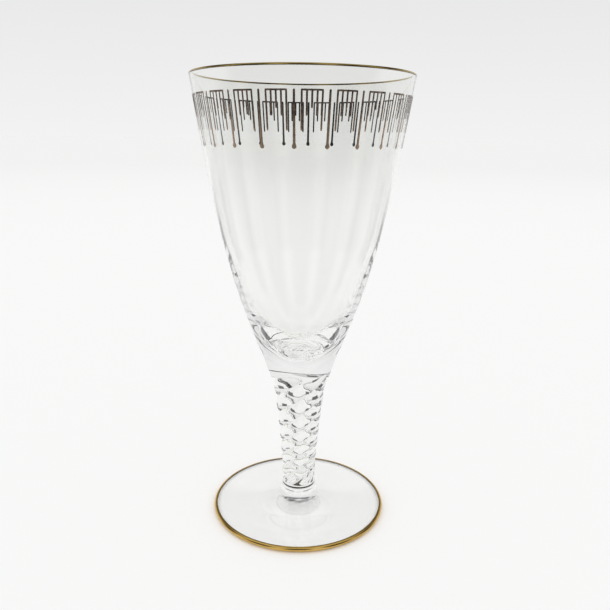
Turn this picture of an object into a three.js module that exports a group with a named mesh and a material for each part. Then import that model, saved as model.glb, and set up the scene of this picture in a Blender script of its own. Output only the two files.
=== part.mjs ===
// A white wine glass: a tall tapering bowl with a gilded lip and a fringe of fine metallic strokes,
// a solid stem with twisted lobes, and a round foot with a gilded edge.
// Millimetres, +Z up, origin at the centre of the surface that the foot stands on.
// Angles run round the axis from the front, -Y, towards +X.

import * as THREE from 'three';
import { mergeVertices } from 'three/addons/utils/BufferGeometryUtils.js';

// Bowl
const HEIGHT = 170;
const RIM_RADIUS = 40;
const LIP_WALL = 1.1;
const BOWL_BASE_Z = 63.5;
const CONE_TOP_Z = 67.3;
const CONE_TOP_RADIUS = 15.2;
const CONE_SLOPE = 0.335;
const BOWL_TAPER = 16.2;
const BOWL_FULLNESS = 3.3;
const BASE_WALL = 3.9;
const WALL_SWELL_Z = 112;
const WALL_SWELL_POWER = 1.3;
const CAVITY_FLOOR_Z = 66.8;
const CAVITY_CURVE_Z = 87;
const CAVITY_ROUNDNESS = 2.05;

// Stem
const STEM_BASE_Z = 9.8;
const STEM_BASE_RADIUS = 6.65;
const STEM_TAPER = 0.05;
const STEM_SWELL = 0.00095;
const COLLAR_BLEND = 0.35;
const LOBES = 5;
const LOBE_CREST = 0.96;
const LOBE_VALLEY = 0.12;
const LOBE_VALLEY_POWER = 3;
const LOBE_BOTTOM_Z = 11;
const LOBE_TOP_Z = 60;
const LOBE_ARCH = 3.2;
const LOBE_RUN_OUT = 0.5;
const TWIST_SLOPE = 0.578;
const TWIST_START = -13;

// Foot
const FOOT_RADIUS = 35;
const FOOT_EDGE = 2;
const FOOT_RISE = 5;
const FOOT_SPREAD = 20;
const FOOT_GILDING_WIDTH = 1.3;
const FOOT_GILDING_LIFT = 0.3;
const NECK_CURVE = 0.6;
const REST_INNER_RADIUS = 26;
const HOLLOW_HEIGHT = 0.7;

// Gilding on the lip
const LIP_GILDING_HEIGHT = 0.65;

// Fringe
const FRINGE_UNITS = 22;
const FRINGE_START = -3.9;
const FRINGE_TOP_Z = 162.7;
const DROP_LENGTH = 17.6;
const DROP_TOP_WIDTH = 0.7;
const DROP_END_WIDTH = 0.95;
const BEAD_RADIUS = 0.8;
const COMB_LENGTHS = [12.2, 7.8, 5.6, 7.8, 12.2];
const COMB_SPACING = 1.6;
const COMB_LINE = 0.63;
const COMB_BAR = 0.57;
const STROKE_THICKNESS = 0.15;
const STROKE_GAP = 0.1;

// Facets round the turned pieces and the stem, and how fast the bowl's rows grow upwards and the
// foot's grow outwards
const TURNED_SEGMENTS = 64;
const ROW_GROWTH = 1.2;
const FOOT_ROW_GROWTH = 3;
const LOBE_SEGMENTS = 10;
const LOBE_ROWS = 50;
const COLLAR_ROWS = 6;

const { abs, cos, sin, PI, exp, log, max, min, sqrt } = Math;
const TURN = 2 * PI;
const degrees = (angle) => (angle * PI) / 180;
const steps = (count) => Array.from({ length: count + 1 }, (_, i) => i / count);
const mix = (a, b, t) => a + (b - a) * t;

// The cone that the bowl's base and the stem's collar share.
const coneRadius = (z) => CONE_TOP_RADIUS - CONE_SLOPE * (CONE_TOP_Z - z);

// Outside of the bowl: above the cone, an even taper plus a fullness that dies away towards the lip.
function bowlRadius(z) {
  if (z < CONE_TOP_Z) return coneRadius(z);
  const t = (z - CONE_TOP_Z) / (HEIGHT - CONE_TOP_Z);
  const fullness = RIM_RADIUS - CONE_TOP_RADIUS - BOWL_TAPER;
  return CONE_TOP_RADIUS + BOWL_TAPER * t + fullness * (1 - (1 - t) ** BOWL_FULLNESS);
}

// Wall of the bowl: thin and even above, swelling towards the heavy base.
function wall(z) {
  const t = max(0, (WALL_SWELL_Z - z) / (WALL_SWELL_Z - CAVITY_FLOOR_Z));
  return LIP_WALL + BASE_WALL * t ** WALL_SWELL_POWER;
}

const cavityRadius = (z) => bowlRadius(z) - wall(z);

// Rounded bottom of the cavity, from the axis up to where the wall begins: a superellipse whose
// widest radius goes on shrinking at the wall's own slope.
function cavityFloor(t) {
  const angle = (t * PI) / 2;
  const drop = (CAVITY_CURVE_Z - CAVITY_FLOOR_Z) * cos(angle) ** (2 / CAVITY_ROUNDNESS);
  const slope = cavityRadius(CAVITY_CURVE_Z + 1) - cavityRadius(CAVITY_CURVE_Z);
  const widest = cavityRadius(CAVITY_CURVE_Z) - slope * drop;
  return new THREE.Vector2(widest * sin(angle) ** (2 / CAVITY_ROUNDNESS), CAVITY_CURVE_Z - drop);
}

// A turned solid: the profile, (radius, height) from the axis at the bottom round to the axis at
// the top or closed on itself, carried round the vertical axis.
function turned(profile) {
  const geometry = new THREE.LatheGeometry(profile, TURNED_SEGMENTS);
  geometry.rotateX(PI / 2);
  geometry.deleteAttribute('normal');
  geometry.deleteAttribute('uv');
  return mergeVertices(geometry, 1e-4);
}

function bowl() {
  const lipZ = HEIGHT - LIP_GILDING_HEIGHT;
  const outside = steps(12).map((t) => {
    const z = mix(CONE_TOP_Z, lipZ, t ** ROW_GROWTH);
    return new THREE.Vector2(bowlRadius(z), z);
  });
  const inside = steps(9).map((t) => {
    const z = mix(lipZ, CAVITY_CURVE_Z, t);
    return new THREE.Vector2(cavityRadius(z), z);
  });
  const floor = steps(8)
    .reverse()
    .slice(1)
    .map(cavityFloor);
  const middle = new THREE.Vector2(0, BOWL_BASE_Z);
  const edge = new THREE.Vector2(coneRadius(BOWL_BASE_Z), BOWL_BASE_Z);
  return turned([middle, edge, ...outside, ...inside, ...floor]);
}

// The gold on the lip: a ring as thick as the wall, rounded over the top.
function lipGilding() {
  const bottom = HEIGHT - LIP_GILDING_HEIGHT;
  const roundRadius = LIP_WALL / 2;
  const shoulder = HEIGHT - roundRadius;
  const over = steps(6).map((t) => {
    const angle = t * PI;
    const middle = bowlRadius(shoulder) - roundRadius;
    return new THREE.Vector2(middle + roundRadius * cos(angle), shoulder + roundRadius * sin(angle));
  });
  const start = new THREE.Vector2(bowlRadius(bottom), bottom);
  return turned([start, ...over, new THREE.Vector2(cavityRadius(bottom), bottom), start.clone()]);
}

// The stem's blank, before the lobes: a shaft that swells upwards, joined softly to the cone.
function blankRadius(z) {
  const rise = z - STEM_BASE_Z;
  const shaft = STEM_BASE_RADIUS + STEM_TAPER * rise + STEM_SWELL * rise ** 2;
  return COLLAR_BLEND * log(exp(shaft / COLLAR_BLEND) + exp(coneRadius(z) / COLLAR_BLEND));
}

// Outside of the stem, at a share of a lobe's half-width from its crest. Across a lobe the radius
// falls towards the valleys by a power of that share. At its arched top and at its bottom the lobe
// steps out to the blank.
function stemRadius(z, share) {
  const blank = blankRadius(z);
  const lobe = blank * LOBE_CREST * (1 - LOBE_VALLEY * abs(share) ** LOBE_VALLEY_POWER);
  const arch = LOBE_TOP_Z - LOBE_ARCH * share ** 2;
  const out = max(z - arch, LOBE_BOTTOM_Z - z) / LOBE_RUN_OUT;
  return mix(lobe, blank, min(1, max(0, out)));
}

// Turn of the lobes at each height: they climb by the slope for each unit that they run round.
function twists(heights) {
  const turn = [0];
  heights.slice(1).forEach((z, i) => {
    const middle = (z + heights[i]) / 2;
    turn.push(turn[i] + (z - heights[i]) / (TWIST_SLOPE * blankRadius(middle)));
  });
  const offset = degrees(TWIST_START) - turn[LOBE_ROWS];
  return turn.map((angle) => angle + offset);
}

// The stem's skin: rows of points that turn with the twist, so that the lobes follow the columns.
function stem() {
  const columns = LOBES * LOBE_SEGMENTS;
  const lobed = steps(LOBE_ROWS).map((t) => mix(STEM_BASE_Z, LOBE_TOP_Z, t));
  const collar = steps(COLLAR_ROWS).map((t) => mix(LOBE_TOP_Z, BOWL_BASE_Z, t));
  const heights = [...lobed, ...collar.slice(1)];
  const twist = twists(heights);
  const points = [new THREE.Vector3(0, 0, STEM_BASE_Z)];
  heights.forEach((z, row) => {
    for (let column = 0; column < columns; column += 1) {
      const share = (2 * (column % LOBE_SEGMENTS)) / LOBE_SEGMENTS - 1;
      const radius = stemRadius(z, share);
      const angle = (column / columns) * TURN - PI / LOBES + twist[row];
      points.push(new THREE.Vector3(radius * sin(angle), -radius * cos(angle), z));
    }
  });
  points.push(new THREE.Vector3(0, 0, BOWL_BASE_Z));
  const last = points.length - 1;
  const rows = heights.length - 1;
  const at = (row, column) => 1 + row * columns + (column % columns);
  const faces = [];
  for (let column = 0; column < columns; column += 1) {
    faces.push(0, at(0, column + 1), at(0, column));
    for (let row = 0; row < rows; row += 1) {
      faces.push(at(row, column), at(row, column + 1), at(row + 1, column + 1));
      faces.push(at(row, column), at(row + 1, column + 1), at(row + 1, column));
    }
    faces.push(last, at(rows, column), at(rows, column + 1));
  }
  const geometry = new THREE.BufferGeometry().setFromPoints(points);
  geometry.setIndex(faces);
  return geometry;
}

// Top of the foot: from the edge it rises inwards, more and more, and sweeps up into the neck. Both
// rises fade outwards as decaying powers of the distance from the neck.
function footTop(radius) {
  const away = radius - STEM_BASE_RADIUS;
  const edgeFade = exp((STEM_BASE_RADIUS - FOOT_RADIUS + FOOT_GILDING_WIDTH) / FOOT_SPREAD);
  const rise = (FOOT_RISE * (exp(-away / FOOT_SPREAD) - edgeFade)) / (1 - edgeFade);
  const neck = STEM_BASE_Z - FOOT_EDGE - FOOT_RISE;
  return FOOT_EDGE + rise + neck * exp(-away / NECK_CURVE);
}

function foot() {
  const glassRadius = FOOT_RADIUS - FOOT_GILDING_WIDTH;
  const hollow = steps(5).map((t) => {
    const radius = REST_INNER_RADIUS * t;
    return new THREE.Vector2(radius, HOLLOW_HEIGHT * (1 - t ** 2));
  });
  const top = steps(11).map((t) => {
    const radius = mix(glassRadius, STEM_BASE_RADIUS, 1 - (1 - t) ** FOOT_ROW_GROWTH);
    return new THREE.Vector2(radius, t === 1 ? STEM_BASE_Z : footTop(radius));
  });
  const edge = [new THREE.Vector2(glassRadius, 0), new THREE.Vector2(glassRadius, FOOT_GILDING_LIFT)];
  return turned([...hollow, ...edge, ...top, new THREE.Vector2(0, STEM_BASE_Z)]);
}

// The gold on the foot: a ring that carries the foot's edge, flat inside and rounded outside.
function footGilding() {
  const glassRadius = FOOT_RADIUS - FOOT_GILDING_WIDTH;
  const half = (FOOT_EDGE - FOOT_GILDING_LIFT) / 2;
  const middle = FOOT_GILDING_LIFT + half;
  const round = steps(8).map((t) => {
    const angle = (t - 0.5) * PI;
    return new THREE.Vector2(FOOT_RADIUS - half + half * cos(angle), middle + half * sin(angle));
  });
  const start = new THREE.Vector2(glassRadius, FOOT_GILDING_LIFT);
  return turned([start, ...round, new THREE.Vector2(glassRadius, FOOT_EDGE), start.clone()]);
}

// A flat outline, drawn downwards from the top of the fringe, laid on the bowl at an angle.
function stroke(outline, centre) {
  const geometry = new THREE.ExtrudeGeometry(outline, { depth: STROKE_THICKNESS, bevelEnabled: false });
  geometry.deleteAttribute('normal');
  geometry.deleteAttribute('uv');
  const place = geometry.getAttribute('position');
  for (let i = 0; i < place.count; i += 1) {
    const z = FRINGE_TOP_Z + place.getY(i);
    const angle = centre + place.getX(i) / bowlRadius(FRINGE_TOP_Z);
    const radius = bowlRadius(z) + STROKE_GAP + place.getZ(i);
    place.setXYZ(i, radius * sin(angle), -radius * cos(angle), z);
  }
  return mergeVertices(geometry, 1e-4);
}

// One long drop: a stroke that widens slightly and ends in a round bead.
function dropOutline() {
  const beadZ = -DROP_LENGTH + BEAD_RADIUS;
  const meetZ = beadZ + sqrt(BEAD_RADIUS ** 2 - (DROP_END_WIDTH / 2) ** 2);
  const outline = new THREE.Shape([
    new THREE.Vector2(DROP_TOP_WIDTH / 2, 0),
    new THREE.Vector2(-DROP_TOP_WIDTH / 2, 0),
    new THREE.Vector2(-DROP_END_WIDTH / 2, meetZ),
  ]);
  const half = Math.asin(DROP_END_WIDTH / 2 / BEAD_RADIUS);
  outline.absarc(0, beadZ, BEAD_RADIUS, PI / 2 + half, TURN + PI / 2 - half, false);
  return outline;
}

// One comb: a bar with lines hanging from it, long at the sides and short in the middle.
function combOutline() {
  const lines = COMB_LENGTHS.map((length, i) => ({
    length,
    middle: (i - (COMB_LENGTHS.length - 1) / 2) * COMB_SPACING,
  }));
  const points = lines.flatMap(({ length, middle }) => [
    new THREE.Vector2(middle - COMB_LINE / 2, -COMB_BAR),
    new THREE.Vector2(middle - COMB_LINE / 2, -length),
    new THREE.Vector2(middle + COMB_LINE / 2, -length),
    new THREE.Vector2(middle + COMB_LINE / 2, -COMB_BAR),
  ]);
  const top = lines.flatMap(({ middle }) => [
    new THREE.Vector2(middle - COMB_LINE / 2, 0),
    new THREE.Vector2(middle + COMB_LINE / 2, 0),
  ]);
  return new THREE.Shape([...points.slice(1, -1), ...top.reverse()]);
}

const glass = { color: 0xf2f5f3, roughness: 0.03, metalness: 0, transparent: true, opacity: 0.35 };
const gold = { color: 0xb08a3c, roughness: 0.25, metalness: 1 };
const bronze = { color: 0x5a4a40, roughness: 0.35, metalness: 0.9 };

const wineGlass = new THREE.Group();

function add(name, geometry, look) {
  geometry.computeVertexNormals();
  const piece = new THREE.Mesh(geometry, new THREE.MeshStandardMaterial(look));
  piece.name = name;
  wineGlass.add(piece);
}

add('bowl', bowl(), glass);
add('stem', stem(), glass);
add('foot', foot(), glass);
add('lip_gilding', lipGilding(), gold);
add('foot_gilding', footGilding(), gold);
for (let unit = 0; unit < FRINGE_UNITS; unit += 1) {
  const number = String(unit + 1).padStart(2, '0');
  const angle = degrees(FRINGE_START + (unit * 360) / FRINGE_UNITS);
  add(`fringe_drop_${number}`, stroke(dropOutline(), angle), bronze);
  add(`fringe_comb_${number}`, stroke(combOutline(), angle + PI / FRINGE_UNITS), bronze);
}

export default wineGlass;
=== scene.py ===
"""A white wine glass, laid out as a Blender add-on and run as a script.

A tall tapering bowl with a gilded lip and a fringe of fine metallic strokes stands on a solid stem
with twisted lobes and a round foot with a gilded edge. Lengths are in metres, +Z is up, the origin
is the centre of the surface that the foot stands on, and angles run round the axis from the front,
-Y, towards +X.
"""

import math

import bpy
import numpy as np
from bpy.props import FloatProperty, FloatVectorProperty, IntProperty, PointerProperty
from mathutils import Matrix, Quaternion, Vector


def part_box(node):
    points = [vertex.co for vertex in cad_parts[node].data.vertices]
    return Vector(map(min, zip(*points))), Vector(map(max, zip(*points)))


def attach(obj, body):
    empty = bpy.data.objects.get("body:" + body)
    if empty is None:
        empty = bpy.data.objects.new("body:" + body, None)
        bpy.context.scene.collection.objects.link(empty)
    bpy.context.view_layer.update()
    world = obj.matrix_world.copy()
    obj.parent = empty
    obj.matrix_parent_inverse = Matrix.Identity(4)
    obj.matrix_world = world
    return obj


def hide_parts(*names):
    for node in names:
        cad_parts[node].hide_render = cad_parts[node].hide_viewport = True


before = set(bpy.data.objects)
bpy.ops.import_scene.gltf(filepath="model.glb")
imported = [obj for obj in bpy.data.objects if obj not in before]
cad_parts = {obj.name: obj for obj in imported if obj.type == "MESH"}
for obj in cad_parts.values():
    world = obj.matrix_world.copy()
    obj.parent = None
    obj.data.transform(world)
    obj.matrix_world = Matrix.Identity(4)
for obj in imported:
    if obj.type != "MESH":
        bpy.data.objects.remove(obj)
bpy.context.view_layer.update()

bl_info = {
    "name": "White Wine Glass",
    "version": (1, 0, 0),
    "blender": (4, 5, 0),
    "location": "View3D > Sidebar > Glass",
    "description": "Builds a gilded white wine glass on a twisted stem",
    "category": "Add Mesh",
}

MM = 0.001
TURN = 2 * math.pi

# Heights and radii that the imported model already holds
BOWL_BOX, STEM_BOX, FOOT_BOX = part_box("bowl"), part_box("stem"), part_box("foot")
LIP_BOX, EDGE_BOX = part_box("lip_gilding"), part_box("foot_gilding")

# Heights between which the tint turns to the stem's, the wall's and the lip's, and the lustre darkens
NECK_TINT = (8 * MM, 12 * MM)
WALL_TINT = (68 * MM, 90 * MM)
LIP_TINT = (120 * MM, 165 * MM)
DARK_LUSTRE = (147 * MM, 161 * MM)


def length(name, description, millimetres):
    """A property that holds a length, written in millimetres."""
    return FloatProperty(
        name=name, description=description, default=millimetres * MM, unit="LENGTH", precision=5
    )


def plain(name, description, value):
    """A property that holds a number without a unit."""
    return FloatProperty(name=name, description=description, default=value, precision=4)


def angle(name, description, degrees):
    """A property that holds an angle, written in degrees."""
    return FloatProperty(
        name=name, description=description, default=math.radians(degrees), subtype="ANGLE"
    )


def colour(name, description, value):
    """A property that holds a colour."""
    return FloatVectorProperty(
        name=name, description=description, default=value, subtype="COLOR", size=3, min=0, max=1
    )


class BowlSizes(bpy.types.PropertyGroup):
    """Sizes of the bowl"""

    height: length("Height", "Floor to the top of the lip", LIP_BOX[1].z / MM)
    lip_z: length("Lip", "Height of the glass under the lip's gold", BOWL_BOX[1].z / MM)
    base_z: length("Base", "Height at which the bowl is fused to the stem", BOWL_BOX[0].z / MM)
    rim_radius: length("Rim radius", "Outer radius at the lip", 40)
    cone_top: length("Cone top", "Height of the cone under the bowl, shared with the stem", 67.3)
    cone_radius: length("Cone radius", "Outer radius at that height", 15.2)
    cone_slope: plain("Cone slope", "Growth of the cone's radius with height", 0.335)
    taper: length("Taper", "Part of the widening that is even all the way up", 16.2)
    fullness: plain("Fullness", "How soon the rest of the widening is spent", 3.3)
    lip_wall: length("Lip wall", "Thickness of the wall at the lip", 1.1)
    base_wall: length("Base wall", "Thickness that the wall gains at the bottom", 3.9)
    swell_z: length("Swell", "Height below which the wall thickens", 112)
    swell_power: plain("Swell power", "How late the wall thickens", 1.3)
    floor_z: length("Floor", "Lowest point of the cavity", 66.8)
    curve_z: length("Floor curve", "Height at which the cavity's rounding begins", 87)
    roundness: plain("Roundness", "Exponent of the cavity's rounded bottom", 2.05)


class StemSizes(bpy.types.PropertyGroup):
    """Sizes of the stem"""

    base_z: length("Base", "Height at which the stem is fused to the foot", STEM_BOX[0].z / MM)
    base_radius: length("Base radius", "Radius at the foot", 6.65)
    taper: plain("Taper", "Growth of the radius with height at the base", 0.05)
    swell: plain("Swell", "Growth of that taper with height, per millimetre", 0.00095)
    collar_blend: length("Collar blend", "Softness of the corner under the collar", 0.35)
    lobes: IntProperty(name="Lobes", description="Number of twisted lobes", default=5, min=3)
    crest: plain("Crest", "Radius at a lobe's crest against the blank's", 0.96)
    valley: plain("Valley", "Depth of the valleys against the crest's radius", 0.12)
    valley_power: plain("Valley power", "How late a lobe falls away to its valleys", 3)
    lobe_bottom: length("Lobe bottom", "Height at which the lobes begin", 11)
    lobe_top: length("Lobe top", "Height of the arches that end the lobes", 60)
    arch: length("Arch", "Drop of an arch from its crest to the valleys", 3.2)
    run_out: length("Run-out", "Height in which a lobe's end steps out to the blank", 0.5)
    twist_slope: plain("Twist slope", "Steepness of the twisted lobes", 0.578)
    twist_start: angle("Twist start", "Angle of a crest at the lobes' top", -13)


class FootSizes(bpy.types.PropertyGroup):
    """Sizes of the foot"""

    radius: length("Radius", "Outer radius with the gilded edge", EDGE_BOX[1].x / MM)
    glass_radius: length("Glass radius", "Radius at which the gold begins", FOOT_BOX[1].x / MM)
    edge: length("Edge", "Thickness at the edge", 2)
    rise: length("Rise", "Height that the top gains from the edge to the neck", 5)
    spread: length("Spread", "Distance in which that rise fades outwards", 20)
    lift: length("Lift", "Height of the gold above the floor", EDGE_BOX[0].z / MM)
    neck_curve: length("Neck curve", "Width of the sweep from the foot to the neck", 0.6)
    rest_radius: length("Rest radius", "Inner radius of the ring that the foot stands on", 26)
    hollow: length("Hollow", "Height of the hollow under the foot", 0.7)


class FringeSizes(bpy.types.PropertyGroup):
    """Sizes of the fringe"""

    units: IntProperty(name="Units", description="Drops round the bowl", default=22, min=1)
    start: angle("Start", "Angle of the first drop from the front", -3.9)
    top_z: length("Top", "Height of the fringe's upper edge", 162.7)
    drop: length("Drop", "Length of a long drop", 17.6)
    drop_width: length("Drop width", "Width of a drop at its top", 0.7)
    drop_end: length("Drop end", "Width of a drop above its bead", 0.95)
    bead: length("Bead", "Radius of the bead that ends a drop", 0.8)
    outer_line: length("Outer lines", "Length of a comb's outer lines", 12.2)
    second_line: length("Second lines", "Length of the lines beside them", 7.8)
    middle_line: length("Middle line", "Length of the middle line", 5.6)
    spacing: length("Spacing", "Distance between a comb's lines", 1.6)
    line: length("Line width", "Width of a comb's lines", 0.63)
    bar: length("Bar width", "Width of a comb's bar", 0.57)
    relief: length("Relief", "Height of the strokes over the glass", 0.07)
    sunk: length("Sunk", "Depth of the strokes in the glass", 0.03)


class Finish(bpy.types.PropertyGroup):
    """Colours and wear of the glass and its metal, and the lip gold's painted shade"""

    glass: colour("Glass", "Tint of the bowl's wall", (0.975, 0.977, 0.966))
    lip_glass: colour("Lip glass", "Tint of the wall towards the lip", (0.925, 0.93, 0.91))
    thick_glass: colour("Thick glass", "Tint of the solid glass", (0.945, 0.955, 0.94))
    foot_glass: colour("Foot glass", "Tint of the foot", (0.995, 0.995, 0.99))
    gold: colour("Gold", "Burnished gold", (0.68, 0.45, 0.13))
    old_gold: colour("Old gold", "Gold where it is thin or darkened", (0.38, 0.24, 0.07))
    # The lip's gold is a darker copy of the gold: painted shade for the dark surroundings that it
    # mirrors
    shaded_lip_gold: colour("Lip gold", "The lip's darker gold", (0.38, 0.275, 0.085))
    gold_back: colour("Gold back", "Back of the gilding, seen through the glass", (0.07, 0.055, 0.03))
    dark_back: colour("Dark back", "The darkest clouds of that back", (0.035, 0.03, 0.018))
    lustre: colour("Lustre", "The fringe's brown metallic lustre", (0.42, 0.31, 0.22))
    dark_lustre: colour("Dark lustre", "The fringe where it is fired darkest", (0.10, 0.075, 0.065))
    underside: colour("Underside", "Back of the lustre, seen through the glass", (0.016, 0.012, 0.01))
    streaks: plain("Streaks", "How far the glass's tint fades in upright streaks", 0.3)
    ripple: plain("Ripple", "How uneven the glass's surface is", 0.02)
    clouds: plain("Clouds", "Share of old gold in the gilding's clouds", 0.4)
    pools: plain("Pools", "How dark the fringe is where the lustre pooled", 0.5)
    fired: plain("Fired", "How dark the fringe is at its top", 0.6)


class StageSettings(bpy.types.PropertyGroup):
    """The camera, floor and light"""

    light: plain("Light", "Level of the even light on the object", 1.0)
    horizon: plain("Horizon", "Brightness of the backdrop at the horizon", 0.89)
    fall: plain("Fall", "How much darker the backdrop grows upwards, per unit of height", 0.4)
    floor: colour("Floor", "Colour of the floor near the object", (0.945, 0.945, 0.94))
    far_floor: colour("Far floor", "Colour of the floor towards the horizon", (0.89, 0.89, 0.885))
    # Colour of the painted reflections on the floor: dark shapes that only glass and gold show,
    # standing in for a dark room
    mark: colour("Marks", "Dark marks that only bent rays see", (0.1, 0.1, 0.1))
    camera: FloatVectorProperty(
        name="Camera", description="Place of the camera", default=(0, -0.2375, 0.149),
        subtype="TRANSLATION",
    )
    pitch: angle("Pitch", "How far the camera looks down", 14.92)
    yaw: angle("Yaw", "How far the camera looks to the right", 0.43)
    roll: angle("Roll", "Turn of the camera about its view", 0.73)
    lens: FloatProperty(
        name="Lens", description="Focal length on a 36 mm sensor, in millimetres", default=37.39
    )


class Number:
    """A number in a node tree: arithmetic on it adds Math nodes."""

    def __init__(self, nodes, socket):
        self.nodes, self.socket = nodes, socket

    def math(self, operation, *values, clamp=False):
        """A Math node on these values, as a Number."""
        made = self.nodes.node("ShaderNodeMath", {"operation": operation, "use_clamp": clamp})
        for socket, value in zip(made.inputs, values):
            self.nodes.put(socket, value)
        return self.nodes.number(made)

    def __add__(self, other):
        return self.math("ADD", self, other)

    __radd__ = __add__

    def __sub__(self, other):
        return self.math("SUBTRACT", self, other)

    def __rsub__(self, other):
        return self.math("SUBTRACT", other, self)

    def __mul__(self, other):
        return self.math("MULTIPLY", self, other)

    __rmul__ = __mul__

    def below(self, limit):
        """1 below the limit and 0 above it."""
        return self.math("LESS_THAN", self, limit)

    def clamped(self):
        """The number held between 0 and 1."""
        return self.math("ADD", self, 0, clamp=True)

    def between(self, low, high):
        """0 below low, 1 above high, and a smooth step from one to the other."""
        limits = {"From_Min": low, "From_Max": high}
        smooth = {"interpolation_type": "SMOOTHSTEP"}
        return self.nodes.number(self.nodes.node("ShaderNodeMapRange", smooth, Value=self, **limits))

    def within(self, low, low_end, high, high_end):
        """1 from low_end to high, and smooth steps down to 0 at low and at high_end."""
        return self.between(low, low_end) * (1 - self.between(high, high_end))


class Nodes:
    """The node tree of a material or a world."""

    def __init__(self, owner):
        owner.use_nodes = True
        self.tree = owner.node_tree
        self.tree.nodes.clear()

    def put(self, socket, value):
        """Links a Number or a socket to the socket, or sets the socket's own value."""
        if isinstance(value, Number):
            value = value.socket
        if isinstance(value, bpy.types.NodeSocket):
            self.tree.links.new(value, socket)
        else:
            socket.default_value = value

    def node(self, kind, settings=(), **sockets):
        """A node of that kind, with its settings made first; a socket is named with _ for a space."""
        made = self.tree.nodes.new(kind)
        for name, value in dict(settings).items():
            setattr(made, name, value)
        for name, value in sockets.items():
            self.put(made.inputs[name.replace("_", " ")], value)
        return made

    def number(self, node, output=0):
        """An output of a node, as a Number."""
        return Number(self, node.outputs[output])

    def blend(self, factor, a, b):
        """Colour a where the factor is 0 and b where it is 1."""
        made = self.node("ShaderNodeMix", {"data_type": "RGBA"}, Factor=factor)
        # Inputs 6 and 7 and output 2 are the node's colours, which share their names with its numbers
        self.put(made.inputs[6], a)
        self.put(made.inputs[7], b)
        return made.outputs[2]

    def place(self, space):
        """The three coordinates of a place, or in a world of a direction, in that space."""
        coordinates = self.node("ShaderNodeTexCoord").outputs[space]
        axes = self.node("ShaderNodeSeparateXYZ", Vector=coordinates)
        return [self.number(axes, axis) for axis in "XYZ"]

    def noise(self, scale, detail, stretch=(1, 1, 1)):
        """Noise from 0 to 1 in the object's own coordinates; scale counts its waves per metre."""
        coordinates = self.node("ShaderNodeTexCoord").outputs["Object"]
        mapped = self.node("ShaderNodeMapping", Vector=coordinates, Scale=stretch).outputs[0]
        return self.number(self.node("ShaderNodeTexNoise", Vector=mapped, Scale=scale, Detail=detail))

    def surface(self, **sockets):
        """A Principled surface with these sockets, as the material's output."""
        shader = self.node("ShaderNodeBsdfPrincipled", **sockets)
        self.node("ShaderNodeOutputMaterial", Surface=shader.outputs[0])


def rgba(value):
    """A colour property as a colour with full alpha."""
    return (*value, 1.0)


def glass_material(finish):
    """Clear glass with a faint grey-green cast, deeper towards the lip and in the solid stem and
    faintest in the foot. Its surface is very slightly uneven."""
    nodes = Nodes(bpy.data.materials.new("blown_glass"))
    height = nodes.place("Object")[2]
    tint = rgba(finish.foot_glass)
    tint = nodes.blend(height.between(*NECK_TINT), tint, rgba(finish.thick_glass))
    tint = nodes.blend(height.between(*WALL_TINT), tint, rgba(finish.glass))
    tint = nodes.blend(height.between(*LIP_TINT), tint, rgba(finish.lip_glass))
    streaks = nodes.noise(scale=60, detail=2, stretch=(1, 1, 0.15))
    ripple = nodes.node("ShaderNodeBump", Strength=finish.ripple, Distance=0.5 * MM, Height=streaks)
    nodes.surface(
        Base_Color=nodes.blend(streaks * finish.streaks, tint, (1, 1, 1, 1)),
        Roughness=0.0,
        IOR=1.5,
        Transmission_Weight=1.0,
        Normal=ripple.outputs[0],
    )


def joint_material(finish):
    """The plane where two pieces are fused: light passes through it as if it weren't there."""
    Nodes(bpy.data.materials.new("fused_joint")).surface(Alpha=0.0)


def burnish(name, gold, finish):
    """Burnished gold of that colour, a little darker and rougher in clouds and along scratches."""
    nodes = Nodes(bpy.data.materials.new(name))
    clouds = nodes.noise(scale=90, detail=4).between(0.42, 0.68)
    scratches = nodes.noise(scale=1500, detail=2, stretch=(1, 1, 0.1))
    nodes.surface(
        Base_Color=nodes.blend(clouds * finish.clouds, rgba(gold), rgba(finish.old_gold)),
        Metallic=1.0,
        Roughness=0.1 + scratches * 0.08 + clouds * 0.05,
    )


def foot_gold_material(finish):
    """The gold of the foot's edge, bright."""
    burnish("foot_gold", finish.gold, finish)


def lip_gold_material(finish):
    """The lip's gold: the same, darker: painted shade for the dark surroundings that the lip mirrors.
    """
    burnish("shaded_lip_gold", finish.shaded_lip_gold, finish)


def gold_back_material(finish):
    """Back of the gilding against the glass: dark bronze, clouded."""
    nodes = Nodes(bpy.data.materials.new("gold_back"))
    clouds = nodes.noise(scale=300, detail=3).between(0.4, 0.65)
    nodes.surface(
        Base_Color=nodes.blend(clouds, rgba(finish.gold_back), rgba(finish.dark_back)),
        Metallic=0.3,
        Roughness=0.5,
    )


def lustre_pools(nodes):
    """Where the lustre ran together under the pen, from 0 to 1."""
    return nodes.noise(scale=700, detail=3).between(0.4, 0.65)


def lustre_material(finish):
    """Brown metallic lustre, drawn by pen: mottled, darker where it pooled and towards the top."""
    nodes = Nodes(bpy.data.materials.new("brown_lustre"))
    pools = lustre_pools(nodes)
    fired = nodes.place("Object")[2].between(*DARK_LUSTRE)
    dark = (pools * finish.pools + fired * finish.fired).clamped()
    nodes.surface(
        Base_Color=nodes.blend(dark, rgba(finish.lustre), rgba(finish.dark_lustre)),
        Metallic=0.9,
        Roughness=0.24 + pools * 0.1,
    )


def underside_material(finish):
    """Back of the fringe against the glass: nearly black, without much lustre."""
    nodes = Nodes(bpy.data.materials.new("lustre_back"))
    dark = lustre_pools(nodes) * 0.15
    nodes.surface(
        Base_Color=nodes.blend(dark, rgba(finish.underside), rgba(finish.dark_lustre)),
        Metallic=0.0,
        Roughness=0.8,
        Specular_IOR_Level=0.2,
    )


def look(name):
    """The material of that name, which main makes first."""
    return bpy.data.materials[name]


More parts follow.
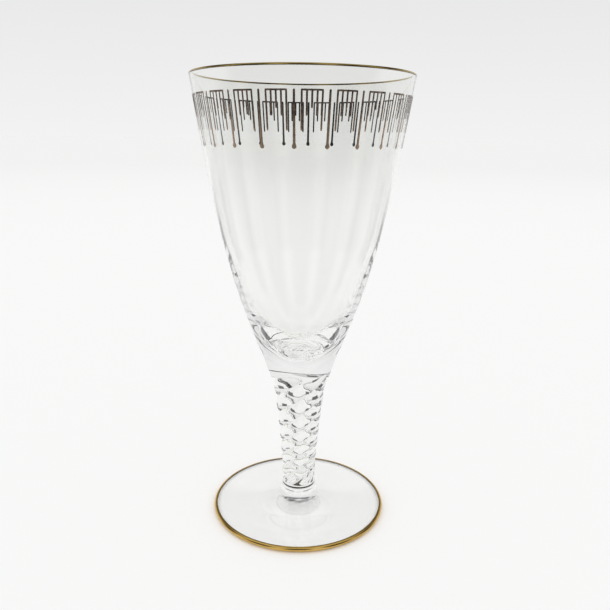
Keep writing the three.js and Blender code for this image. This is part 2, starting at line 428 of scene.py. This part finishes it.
def skin(grid, ring=False):
    """Vertices, faces and each face's row for a grid of points, rows by columns, whose columns close
    round. Without ring, the first and the last row are single points; with it, the last row joins
    the first. The faces are an array of quads and one of triangles."""
    rows, columns = grid.shape[:2]
    index = np.arange(rows * columns).reshape(rows, columns)
    if ring:
        index = np.vstack([index, index[:1]])
    else:
        index[0], index[-1] = index[0, 0], index[-1, 0]
    low, high = index[:-1], index[1:]
    quads = np.stack([low, np.roll(low, -1, 1), np.roll(high, -1, 1), high], -1)
    row = np.repeat(np.arange(len(low)), columns)
    quads = quads.reshape(-1, 4)
    used, compact = np.unique(quads, return_inverse=True)
    quads = compact.reshape(-1, 4)
    bottom, top = quads[:, 0] == quads[:, 1], quads[:, 2] == quads[:, 3]
    whole = ~(bottom | top)
    triangles = np.vstack([quads[bottom][:, 1:], quads[top][:, :3]])
    face_row = np.concatenate([row[whole], row[bottom], row[top]])
    return grid.reshape(-1, 3)[used], (quads[whole], triangles), face_row


def make_piece(name, vertices, faces, materials, slots, crease=40):
    """An object of this mesh that rides on the body; slots gives the material of each face, and
    edges sharper than the crease, in degrees, stay sharp."""
    mesh = bpy.data.meshes.new(name)
    quads, triangles = faces
    mesh.from_pydata(vertices.tolist(), [], [*quads.tolist(), *triangles.tolist()])
    for material in materials:
        mesh.materials.append(material)
    mesh.polygons.foreach_set("material_index", np.asarray(slots, np.int32))
    mesh.shade_smooth()
    mesh.set_sharp_from_angle(angle=math.radians(crease))
    mesh.update()
    piece = bpy.data.objects.new(name, mesh)
    bpy.context.scene.collection.objects.link(piece)
    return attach(piece, "root")


def revolve(profile, columns, wave=None):
    """A profile of (radius, height) carried round the axis: at angle a from the front, a point is
    (radius sin a, -radius cos a, height). A wave, rows by columns, is added to the radius."""
    around = np.arange(columns) * TURN / columns
    radius = np.repeat(profile[:, :1], columns, 1)
    if wave is not None:
        radius = radius + wave
    height = np.repeat(profile[:, 1:], columns, 1)
    return np.stack([radius * np.sin(around), -radius * np.cos(around), height], -1)


def cone_radius(bowl, z):
    """The cone that the bowl's base and the stem's collar share."""
    return bowl.cone_radius - bowl.cone_slope * (bowl.cone_top - z)


def bowl_radius(bowl, z):
    """Outside of the bowl: above the cone, an even taper plus a fullness that dies away towards the
    lip, 1 - (1 - t) ** fullness at the share t of the height above the cone."""
    t = np.maximum(0, (z - bowl.cone_top) / (bowl.height - bowl.cone_top))
    full = bowl.rim_radius - bowl.cone_radius - bowl.taper
    widened = bowl.cone_radius + bowl.taper * t + full * (1 - (1 - t) ** bowl.fullness)
    return np.where(z < bowl.cone_top, cone_radius(bowl, z), widened)


def cavity_radius(bowl, z):
    """Inside of the bowl: the outside less a wall that swells below a height by a power."""
    t = np.maximum(0, (bowl.swell_z - z) / (bowl.swell_z - bowl.floor_z))
    return bowl_radius(bowl, z) - bowl.lip_wall - bowl.base_wall * t**bowl.swell_power


def cavity_floor(bowl, t):
    """Rounded bottom of the cavity, t from 0 on the axis to 1 at the wall: a superellipse whose
    widest radius goes on shrinking at the wall's own slope."""
    turn = t * math.pi / 2
    drop = (bowl.curve_z - bowl.floor_z) * np.cos(turn) ** (2 / bowl.roundness)
    edge = cavity_radius(bowl, bowl.curve_z)
    slope = (cavity_radius(bowl, bowl.curve_z + MM) - edge) / MM
    widest = edge - slope * drop
    return np.stack([widest * np.sin(turn) ** (2 / bowl.roundness), bowl.curve_z - drop], -1)


class GLASS_OT_bowl(bpy.types.Operator):
    """Make the bowl"""

    bl_idname = "glass.bowl"
    bl_label = "Bowl"

    OUTSIDE_ROWS = 110
    INSIDE_ROWS = 90
    FLOOR_ROWS = 36
    COLUMNS = 288

    def execute(self, context):
        bowl = context.scene.glass_bowl
        z_out = np.linspace(bowl.base_z, bowl.lip_z, self.OUTSIDE_ROWS)
        z_in = np.linspace(bowl.lip_z, bowl.curve_z, self.INSIDE_ROWS)
        outside = np.stack([bowl_radius(bowl, z_out), z_out], -1)
        inside = np.stack([cavity_radius(bowl, z_in), z_in], -1)
        floor = cavity_floor(bowl, np.linspace(1, 0, self.FLOOR_ROWS)[1:])
        profile = np.vstack([[[0, bowl.base_z]], outside, inside, floor])
        vertices, faces, row = skin(revolve(profile, self.COLUMNS))
        joint = (row == 0) | (row == self.OUTSIDE_ROWS)
        piece = make_piece(
            "glass_bowl", vertices, faces, [look("blown_glass"), look("fused_joint")], joint
        )
        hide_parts("bowl")
        return {"FINISHED"}


def blank_radius(bowl, stem, z):
    """The stem before its lobes are made: a shaft that swells upwards, joined softly to the cone."""
    rise = z - stem.base_z
    shaft = stem.base_radius + stem.taper * rise + stem.swell / MM * rise**2
    soft = stem.collar_blend
    return soft * np.logaddexp(shaft / soft, cone_radius(bowl, z) / soft)


def stem_radius(stem, blank, z, share):
    """Outside of the stem, at a share of a lobe's half-width from its crest. Across a lobe the radius
    falls towards the valleys by a power of that share. At its arched top and at its bottom the lobe
    steps out to the blank, as 3 t squared - 2 t cubed."""
    lobe = blank * stem.crest * (1 - stem.valley * np.abs(share) ** stem.valley_power)
    arch = stem.lobe_top - stem.arch * share**2
    out = np.clip(np.maximum(z - arch, stem.lobe_bottom - z) / stem.run_out, 0, 1)
    return lobe + (blank - lobe) * out**2 * (3 - 2 * out)


def stem_grid(bowl, stem, rows, columns):
    """The stem's skin: rows of points up the axis that turn with the twist, so that the lobes follow
    the columns. The twist is one over the slope and the blank's radius, summed up the height."""
    z = np.linspace(stem.base_z, bowl.base_z, rows)[:, None]
    blank = blank_radius(bowl, stem, z)
    rate = 1 / (stem.twist_slope * blank[:, 0])
    twist = np.concatenate([[0], np.cumsum((rate[1:] + rate[:-1]) / 2 * np.diff(z[:, 0]))])
    twist += stem.twist_start - np.interp(stem.lobe_top, z[:, 0], twist)
    lobe = np.arange(columns) / columns * stem.lobes
    share = 2 * ((lobe + 0.5) % 1) - 1
    radius = stem_radius(stem, blank, z, share)
    around = np.arange(columns) * TURN / columns + twist[:, None]
    return np.stack([radius * np.sin(around), -radius * np.cos(around), z + 0 * around], -1)


class GLASS_OT_stem(bpy.types.Operator):
    """Make the twisted stem with its collar"""

    bl_idname = "glass.stem"
    bl_label = "Stem"

    ROWS = 420
    LOBE_COLUMNS = 36

    def execute(self, context):
        scene = context.scene
        stem = scene.glass_stem
        grid = stem_grid(scene.glass_bowl, stem, self.ROWS, stem.lobes * self.LOBE_COLUMNS)
        bottom, top = grid[:1] * (0, 0, 1), grid[-1:] * (0, 0, 1)
        vertices, faces, row = skin(np.concatenate([bottom, grid, top]))
        joint = (row == 0) | (row == self.ROWS)
        piece = make_piece(
            "glass_stem", vertices, faces, [look("blown_glass"), look("fused_joint")], joint, crease=60
        )
        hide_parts("stem")
        return {"FINISHED"}


def foot_top(foot, stem, radius):
    """Top of the foot: from the edge it rises inwards, more and more, and sweeps up into the neck.
    Both rises fade outwards as decaying powers of the distance from the neck."""
    away = radius - stem.base_radius
    edge_fade = math.exp((stem.base_radius - foot.glass_radius) / foot.spread)
    rise = foot.rise * (np.exp(-away / foot.spread) - edge_fade) / (1 - edge_fade)
    neck = stem.base_z - foot.edge - foot.rise
    return foot.edge + rise + neck * np.exp(-away / foot.neck_curve)


class GLASS_OT_foot(bpy.types.Operator):
    """Make the foot with its neck"""

    bl_idname = "glass.foot"
    bl_label = "Foot"

    HOLLOW_ROWS = 24
    TOP_ROWS = 90
    ROW_GROWTH = 3
    COLUMNS = 256

    def execute(self, context):
        foot, stem = context.scene.glass_foot, context.scene.glass_stem
        t = np.linspace(0, 1, self.HOLLOW_ROWS)
        hollow = np.stack([foot.rest_radius * t, foot.hollow * (1 - t**2)], -1)
        edge = np.array([[foot.glass_radius, 0], [foot.glass_radius, foot.lift]])
        outward = np.linspace(1, 0, self.TOP_ROWS) ** self.ROW_GROWTH
        radius = stem.base_radius + (foot.glass_radius - stem.base_radius) * outward
        top = np.stack([radius, foot_top(foot, stem, radius)], -1)
        profile = np.vstack([hollow, edge, top, [[0, stem.base_z]]])
        vertices, faces, row = skin(revolve(profile, self.COLUMNS))
        joint = (row == self.HOLLOW_ROWS + 1) | (row == len(profile) - 2)
        piece = make_piece(
            "glass_foot", vertices, faces, [look("blown_glass"), look("fused_joint")], joint
        )
        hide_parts("foot")
        return {"FINISHED"}


class GLASS_OT_gilding(bpy.types.Operator):
    """Make the gold on the lip and on the foot's edge"""

    bl_idname = "glass.gilding"
    bl_label = "Gilding"

    ROUND_ROWS = 17
    COLUMNS = 320

    def ring(self, name, node, gold, inner, round_part):
        """A ring of that gold, whose section is closed by its inner face, the gold's dark back."""
        profile = np.vstack([inner[:1], round_part, inner[1:]])
        vertices, faces, row = skin(revolve(profile, self.COLUMNS), ring=True)
        back = row == len(profile) - 1
        piece = make_piece(name, vertices, faces, [look(gold), look("gold_back")], back, crease=50)
        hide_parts(node)

    def execute(self, context):
        bowl, foot = context.scene.glass_bowl, context.scene.glass_foot
        turn = np.linspace(0, math.pi, self.ROUND_ROWS)
        half = bowl.lip_wall / 2
        shoulder = bowl.height - half
        middle = bowl_radius(bowl, shoulder) - half
        over = np.stack([middle + half * np.cos(turn), shoulder + half * np.sin(turn)], -1)
        under = [[radius(bowl, bowl.lip_z), bowl.lip_z] for radius in (bowl_radius, cavity_radius)]
        # The lip gets the darker copy of the gold, painted shade
        self.ring("gold_lip", "lip_gilding", "shaded_lip_gold", under, over)
        half = (foot.edge - foot.lift) / 2
        centre, middle = foot.radius - half, foot.lift + half
        over = np.stack([centre + half * np.sin(turn), middle - half * np.cos(turn)], -1)
        inner = [[foot.glass_radius, foot.lift], [foot.glass_radius, foot.edge]]
        self.ring("gold_foot", "foot_gilding", "foot_gold", inner, over)
        return {"FINISHED"}


def pen_stroke(start, end, half_width, columns=10, rows=14):
    """A raised line on a flat sheet, from start to end: an ellipse across, as wide as half_width
    says along the line, drawn to a point at both ends. Its depth runs from -1 under the sheet to 1
    over it, and falls as the square root of the width where that is under the full share."""
    t = (1 - np.cos(np.linspace(0, math.pi, rows))) / 2
    start, end = np.array(start), np.array(end)
    along = end - start
    side = np.array([-along[1], along[0]]) / np.linalg.norm(along)
    width = half_width(t)[:, None]
    turn = np.arange(columns) * TURN / columns
    centre = start + along * t[:, None]
    flat = centre[:, None] + side * (width * np.cos(turn))[..., None]
    full_share = 0.625
    depth = np.sqrt(np.minimum(1, width / width.max() / full_share)) * np.sin(turn)
    return np.concatenate([flat, depth[..., None]], -1)


def round_ended(width, span):
    """Half-width along a line with half-round ends."""
    def shape(t):
        half = width / 2
        end = np.minimum(np.minimum(t, 1 - t) * span / half, 1)
        return half * np.sqrt(1 - (1 - end) ** 2)
    return shape


def drop_shape(fringe):
    """Half-width along a drop: it widens evenly and ends in a round bead."""
    def shape(t):
        down = t * fringe.drop
        line = (fringe.drop_width + (fringe.drop_end - fringe.drop_width) * t) / 2
        start = np.sqrt(1 - (1 - np.minimum(down / line, 1)) ** 2)
        to_bead = (down - (fringe.drop - fringe.bead)) / fringe.bead
        bead = fringe.bead * np.sqrt(np.clip(1 - to_bead**2, 0, 1))
        return np.maximum(np.where(to_bead > 0, 0, line * start), bead)
    return shape


def on_bowl(bowl, fringe, grid, centre):
    """Lays a flat grid, (across, down, depth), on the outside of the bowl at an angle."""
    across, down, depth = np.moveaxis(grid, -1, 0)
    z = fringe.top_z + down
    around = centre + across / bowl_radius(bowl, fringe.top_z)
    lift = np.where(depth > 0, depth * fringe.relief, depth * fringe.sunk)
    radius = bowl_radius(bowl, z) + lift
    return np.stack([radius * np.sin(around), -radius * np.cos(around), z], -1)


class GLASS_OT_fringe(bpy.types.Operator):
    """Make the fringe of drops and combs under the lip"""

    bl_idname = "glass.fringe"
    bl_label = "Fringe"

    def strokes(self, scene, name, node, grids, centre):
        """One piece of several strokes, metallic outside and dark against the glass."""
        bowl = scene.glass_bowl
        skins = [skin(on_bowl(bowl, scene.glass_fringe, grid, centre)) for grid in grids]
        starts = np.cumsum([0] + [len(vertices) for vertices, _, _ in skins])
        vertices = np.vstack([vertices for vertices, _, _ in skins])
        faces = [
            np.vstack([found[kind] + start for (_, found, _), start in zip(skins, starts)])
            for kind in (0, 1)
        ]
        depth = np.hypot(vertices[:, 0], vertices[:, 1]) - bowl_radius(bowl, vertices[:, 2])
        inward = np.concatenate([depth[corners].mean(1) < 0 for corners in faces])
        looks = [look("brown_lustre"), look("lustre_back")]
        piece = make_piece(name, vertices, faces, looks, inward, crease=180)
        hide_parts(node)

    def execute(self, context):
        scene = context.scene
        fringe = scene.glass_fringe
        step = TURN / fringe.units
        down = (0, -fringe.drop)
        drop = [pen_stroke((0, 0), down, drop_shape(fringe), columns=12, rows=40)]
        lengths = (fringe.middle_line, fringe.second_line, fringe.outer_line)
        outermost = len(lengths) - 1
        half = outermost * fringe.spacing + fringe.line / 2
        middle = -fringe.bar / 2
        comb = [pen_stroke((-half, middle), (half, middle), round_ended(fringe.bar, 2 * half))]
        for place in range(-outermost, outermost + 1):
            x, reach = place * fringe.spacing, lengths[abs(place)]
            comb.append(pen_stroke((x, 0), (x, -reach), round_ended(fringe.line, reach)))
        for unit in range(fringe.units):
            centre = fringe.start + unit * step
            number = f"{unit + 1:02d}"
            self.strokes(scene, f"drop_{number}", f"fringe_drop_{number}", drop, centre)
            self.strokes(scene, f"comb_{number}", f"fringe_comb_{number}", comb, centre + step / 2)
        return {"FINISHED"}


class GLASS_OT_stage(bpy.types.Operator):
    """Make the floor, the light and the camera"""

    bl_idname = "glass.stage"
    bl_label = "Stage"

    # Lengths in metres, except for the width of the camera's sensor, in millimetres
    FLOOR_SIZE = 60.0
    FLOOR_DROP = 0.05 * MM
    SENSOR = 36.0
    NEAREST = 0.01

    # Turns that glass and metal give a ray, and fused joints that it passes
    BOUNCES = 96
    JOINTS_PASSED = 16

    # Distances between which the floor turns to its far colour, and where the backdrop's fall ends
    FAR_FLOOR = (0.5, 3.5)
    BACKDROP_TOP = 0.2

    # What only bent rays see; on the floor it is painted reflections. EDGE: where a shape starts and
    # is complete in its sector, from 0 in the middle to 0.5 at the sides. Four numbers: where it
    # starts, is complete, starts to fade and ends, on the floor as distances and else as heights of a
    # direction. DARK: how dark it is.
    MARKS, MARK_EDGE, MARK_REACH = 8, (0.25, 0.3), (0.16, 0.2, 0.5, 0.7)
    BAND_REACH, BAND_DARK = (0.28, 0.42, 0.7, 1.1), 0.4
    FRONT_FLOOR, FRONT_FLOOR_DARK = (-0.4, -0.14), 0.85
    CEILING, CEILING_DARK = (0.74, 0.84), 0.7
    PANELS, PANEL_EDGE, PANEL_DARK = 12, (0.2, 0.25), 0.8
    PANEL_HEIGHTS = (-0.02, 0.0, 0.2, 0.25)
    WINDOWS, WINDOW_EDGE = 7, (0.02, 0.32)
    ROOM_FRONT, ROOM_TOP = (0.1, 0.5), (0.75, 0.85)
    FRONT_PALER, FRONT_DARK, FRONT_FADE = (0.2, 0.35), 0.9, 0.15
    BACK_HEIGHTS, BACK_DARK = (0.4, 0.5, 0.7, 0.8), 0.65

    def rays(self, nodes):
        """Four numbers, each 1 or 0 for a ray: whether only glass or metal has turned it so far,
        whether glass let it through once or twice, as one solid body does, whether it was mirrored,
        and whether it was mirrored three times or more. Half numbers stand between the counts."""
        path = nodes.node("ShaderNodeLightPath")
        turned = nodes.number(path, "Is Glossy Ray") + nodes.number(path, "Is Transmission Ray")
        bent = turned.clamped() * nodes.number(path, "Diffuse Depth").below(0.5)
        passes = nodes.number(path, "Transmission Depth")
        solid = passes.below(2.5) - passes.below(0.5)
        mirrors = nodes.number(path, "Glossy Depth")
        return bent, solid, 1 - mirrors.below(0.5), 1 - mirrors.below(2.5)

    def sector(self, x, y, count):
        """Round the axis in count equal sectors: 0 in the middle of each and 0.5 at its sides."""
        turned = (x.math("ARCTAN2", x, y) + TURN) * (count / TURN)
        return x.math("PINGPONG", turned, 0.5)

    def painted_floor_reflections(self, x, y, away, solid, mirrored, often):
        """Painted reflections on the floor, which only bent rays see: inside solid glass eight dark
        marks round the foot and a faint band, and where they are mirrored a dark floor in front."""
        marks = self.sector(x, y, self.MARKS).between(*self.MARK_EDGE) * away.within(*self.MARK_REACH)
        band = away.within(*self.BAND_REACH) * self.BAND_DARK
        front = (1 - y.between(*self.FRONT_FLOOR)) * self.FRONT_FLOOR_DARK
        through = (marks + band).clamped() * solid
        return (through + mirrored * (1 - solid * often) * front).clamped()

    def floor(self, stage):
        """A wide pale floor just under the foot, a little darker far away, with painted reflections
        that only bent rays see.
        """
        half = self.FLOOR_SIZE / 2
        mesh = bpy.data.meshes.new("floor")
        corners = [(-half, -half), (half, -half), (half, half), (-half, half)]
        mesh.from_pydata([(x, y, -self.FLOOR_DROP) for x, y in corners], [], [(0, 1, 2, 3)])
        material = bpy.data.materials.new("floor")
        nodes = Nodes(material)
        x, y, _ = nodes.place("Object")
        away = x.math("SQRT", x * x + y * y)
        far = away.between(*self.FAR_FLOOR)
        plain_floor = nodes.blend(far, rgba(stage.floor), rgba(stage.far_floor))
        bent, *turns = self.rays(nodes)
        # Painted reflections: the floor turns dark where only glass and gold see it
        shade = bent * self.painted_floor_reflections(x, y, away, *turns)
        nodes.surface(
            Base_Color=nodes.blend(shade, plain_floor, rgba(stage.mark)),
            Roughness=0.9,
            Specular_IOR_Level=0.0,
        )
        mesh.materials.append(material)
        floor = bpy.data.objects.new("floor", mesh)
        bpy.context.scene.collection.objects.link(floor)

    def room_front(self, x, y, height):
        """The front of a dark room, with soft bright windows, and a little paler higher up."""
        between_windows = self.sector(x, y, self.WINDOWS).between(*self.WINDOW_EDGE)
        dark = self.FRONT_DARK - height.between(*self.FRONT_PALER) * self.FRONT_FADE
        return (1 - y.between(*self.ROOM_FRONT)) * between_windows * dark

    def room_shade(self, x, y, height, solid, mirrored, often):
        """What bent rays see of the room: a dark ceiling overhead, dark panels all round where they
        were mirrored often inside solid glass, and elsewhere, where they were mirrored, the front.
        Metal and thin walls mirror the room's plain back too, and no ceiling."""
        metal = mirrored * (1 - solid)
        panels = self.sector(x, y, self.PANELS).between(*self.PANEL_EDGE)
        panels = panels * height.within(*self.PANEL_HEIGHTS) * self.PANEL_DARK
        back = y.between(*self.ROOM_FRONT) * height.within(*self.BACK_HEIGHTS) * self.BACK_DARK
        room = mirrored * (1 - solid * often) * self.room_front(x, y, height) + metal * back
        room = room * (1 - height.between(*self.ROOM_TOP))
        ceiling = height.between(*self.CEILING) * self.CEILING_DARK
        return (often * solid * panels + room + (1 - metal) * ceiling).clamped()

    def world(self, stage):
        """Even light from all round. The camera and bent rays see a pale backdrop instead, and bent
        rays the room's dark shapes before it."""
        world = bpy.data.worlds.new("studio")
        bpy.context.scene.world = world
        nodes = Nodes(world)
        x, y, height = nodes.place("Generated")
        bent, *turns = self.rays(nodes)
        backdrop = stage.horizon - height.math("MINIMUM", height, self.BACKDROP_TOP) * stage.fall
        shaded = backdrop - bent * self.room_shade(x, y, height, *turns)
        camera_ray = nodes.number(nodes.node("ShaderNodeLightPath"), "Is Camera Ray")
        seen = (camera_ray + bent).clamped()
        light = seen * shaded + (1 - seen) * stage.light
        shader = nodes.node("ShaderNodeBackground", Color=(1, 1, 1, 1), Strength=light)
        nodes.node("ShaderNodeOutputWorld", Surface=shader.outputs[0])

    def camera(self, stage):
        """The photograph's view: looking along +Y, down by the pitch and turned by yaw and roll."""
        data = bpy.data.cameras.new("camera")
        data.lens, data.sensor_width, data.clip_start = stage.lens, self.SENSOR, self.NEAREST
        camera = bpy.data.objects.new("camera", data)
        level = math.cos(stage.pitch)
        ahead = Vector(
            (math.sin(stage.yaw) * level, math.cos(stage.yaw) * level, -math.sin(stage.pitch))
        )
        camera.rotation_mode = "QUATERNION"
        camera.rotation_quaternion = ahead.to_track_quat("-Z", "Y") @ Quaternion((0, 0, 1), stage.roll)
        camera.location = stage.camera
        bpy.context.scene.collection.objects.link(camera)
        bpy.context.scene.camera = camera

    def execute(self, context):
        scene = context.scene
        self.floor(scene.glass_stage)
        self.world(scene.glass_stage)
        self.camera(scene.glass_stage)
        scene.view_settings.view_transform = "Standard"
        scene.cycles.blur_glossy = 0.0
        scene.cycles.max_bounces = self.BOUNCES
        scene.cycles.transmission_bounces = self.BOUNCES
        scene.cycles.glossy_bounces = self.BOUNCES
        scene.cycles.transparent_max_bounces = self.JOINTS_PASSED
        return {"FINISHED"}


class GLASS_PT_parts(bpy.types.Panel):
    """The wine glass's pieces, in the order in which they are made"""

    bl_label = "White Wine Glass"
    bl_idname = "GLASS_PT_parts"
    bl_space_type = "VIEW_3D"
    bl_region_type = "UI"
    bl_category = "Glass"

    def draw(self, context):
        for operator in OPERATORS:
            self.layout.operator(operator.bl_idname)


LOOKS = (
    glass_material,
    joint_material,
    foot_gold_material,
    lip_gold_material,
    gold_back_material,
    lustre_material,
    underside_material,
)
SETTINGS = {
    "glass_bowl": BowlSizes,
    "glass_stem": StemSizes,
    "glass_foot": FootSizes,
    "glass_fringe": FringeSizes,
    "glass_finish": Finish,
    "glass_stage": StageSettings,
}
OPERATORS = (
    GLASS_OT_stage,
    GLASS_OT_bowl,
    GLASS_OT_stem,
    GLASS_OT_foot,
    GLASS_OT_gilding,
    GLASS_OT_fringe,
)


def register():
    """Adds the settings to the scene, then the operators and the panel."""
    for group in SETTINGS.values():
        bpy.utils.register_class(group)
    for name, group in SETTINGS.items():
        setattr(bpy.types.Scene, name, PointerProperty(type=group))
    for kind in (*OPERATORS, GLASS_PT_parts):
        bpy.utils.register_class(kind)


def unregister():
    """Takes the panel, the operators and the settings away again."""
    for kind in (GLASS_PT_parts, *reversed(OPERATORS)):
        bpy.utils.unregister_class(kind)
    for name in SETTINGS:
        delattr(bpy.types.Scene, name)
    for group in SETTINGS.values():
        bpy.utils.unregister_class(group)


def main():
    register()
    for make_look in LOOKS:
        make_look(bpy.context.scene.glass_finish)
    bpy.ops.glass.stage()
    bpy.ops.glass.bowl()
    bpy.ops.glass.stem()
    bpy.ops.glass.foot()
    bpy.ops.glass.gilding()
    bpy.ops.glass.fringe()


if __name__ == "__main__":
    main()
